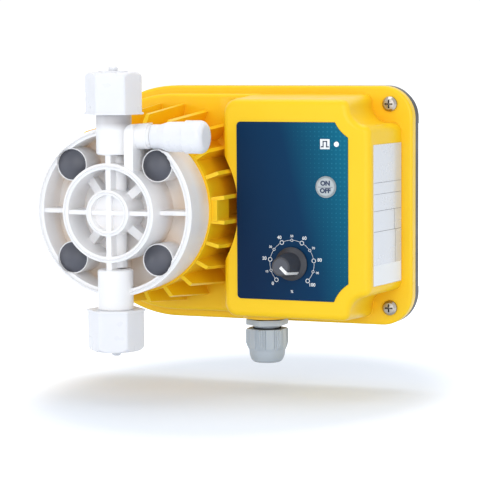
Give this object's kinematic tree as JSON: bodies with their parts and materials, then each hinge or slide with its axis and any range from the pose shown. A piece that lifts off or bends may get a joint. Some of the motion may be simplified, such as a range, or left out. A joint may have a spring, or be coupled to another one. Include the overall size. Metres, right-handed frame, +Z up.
{
  "type": "diaphragm metering pump",
  "caption": "Wall-mounted diaphragm metering pump: finned solenoid housing with ribbed liquid head and valves, beside a console block with panel, push button and rate dial.",
  "frame": {"origin": "centre of the four wall holes, on the plane of the rear pads that rest on the wall", "axes": "+X to the right seen from the front, +Y into the wall, +Z up; the front of the pump looks towards -Y"},
  "size_m": [0.188, 0.1023, 0.1491],
  "materials": {
    "yellow_shell": "moulded, satin gloss",
    "dark_cover": "moulded, matte",
    "black_rubber": "matte",
    "screw_steel": "bright",
    "panel_blue": "printed film",
    "led_lens": "clear lens",
    "bezel_grey": "satin",
    "button_grey": "satin",
    "black_plastic": "matte",
    "knob_plastic": "matte",
    "knob_cap_grey": "matte",
    "pointer_white": "satin",
    "board_green": "lacquered",
    "core_steel": "dull",
    "capacitor_sleeve": "shrunk sleeve",
    "terminal_green": "moulded",
    "label_film": "silvery film",
    "gland_grey": "moulded nylon",
    "copper_winding": "taped winding",
    "bush_brass": "machined",
    "diaphragm_ptfe": "smooth",
    "head_white": "moulded, slightly translucent",
    "plug_grey": "matte",
    "ball_ceramic": "polished"
  },
  "bodies": {
    "pump_body": {"front_shell": "yellow_shell", "rear_cover": "dark_cover", "casing_gasket": "black_rubber", "casing_screws": "screw_steel", "cover_screws": "screw_steel", "control_panel": "panel_blue", "status_led": "led_lens", "onoff_bezel": "bezel_grey", "tact_switch": "black_plastic", "potentiometer": "black_plastic", "circuit_board": "board_green", "board_screws": "screw_steel", "power_transformer": "core_steel", "drive_capacitor": "capacitor_sleeve", "terminal_block": "terminal_green", "rating_label": "label_film", "gland_washer": "black_rubber", "gland_body": "gland_grey", "gland_locknut": "gland_grey", "gland_seal": "black_rubber", "gland_dome_nut": "gland_grey", "yoke_plate": "core_steel", "yoke_shell": "core_steel", "coil_bobbin": "black_plastic", "coil_winding": "copper_winding", "rear_buffer": "black_rubber", "rod_bush": "bush_brass", "return_spring": "screw_steel", "diaphragm": "diaphragm_ptfe", "pump_head": "head_white", "head_screws": "screw_steel", "head_screw_caps": "plug_grey", "discharge_seat": "head_white", "discharge_cage": "head_white", "discharge_o_ring": "black_rubber", "discharge_nipple": "head_white", "discharge_cap_nut": "head_white", "suction_seat": "head_white", "suction_cage": "head_white", "suction_o_ring": "black_rubber", "suction_nipple": "head_white", "suction_cap_nut": "head_white"},
    "rate_dial": {"rate_knob": "knob_plastic", "knob_cap": "knob_cap_grey", "knob_pointer": "pointer_white", "pot_shaft": "screw_steel"},
    "button": {"onoff_button": "button_grey"},
    "plunger": {"armature": "core_steel", "push_rod": "screw_steel", "diaphragm_insert": "core_steel"},
    "discharge_valve_ball": {"discharge_ball": "ball_ceramic"},
    "suction_valve_ball": {"suction_ball": "ball_ceramic"},
    "bleed_screw": {"bleed_knob": "head_white", "bleed_spindle": "head_white", "bleed_o_ring": "black_rubber"}
  },
  "joints": [
    {"name": "dial_turn", "type": "hinge", "parent": "pump_body", "child": "rate_dial", "pos_m": [0.044, -0.051, -0.0265], "axis": [0, 1, 0], "range_deg": [-269, 1]},
    {"name": "button_press", "type": "slide", "parent": "pump_body", "child": "button", "axis": [0, 1, 0], "range_m": [0, 0.0008], "stiffness_N_per_m": 2500, "springref_m": -0.0004},
    {"name": "plunger_stroke", "type": "slide", "parent": "pump_body", "child": "plunger", "axis": [0, -1, 0], "range_m": [0, 0.00125], "stiffness_N_per_m": 6000, "springref_m": -0.0005, "deforming": ["return_spring", "diaphragm"]},
    {"name": "discharge_ball_lift", "type": "slide", "parent": "pump_body", "child": "discharge_valve_ball", "axis": [0, 0, 1], "range_m": [0, 0.002]},
    {"name": "suction_ball_lift", "type": "slide", "parent": "pump_body", "child": "suction_valve_ball", "axis": [0, 0, 1], "range_m": [0, 0.002]},
    {"name": "bleed_turn", "type": "hinge", "parent": "pump_body", "child": "bleed_screw", "pos_m": [0, -0.088, 0.037], "axis": [1, 0, 0], "range_deg": [0, 360]}
  ]
}
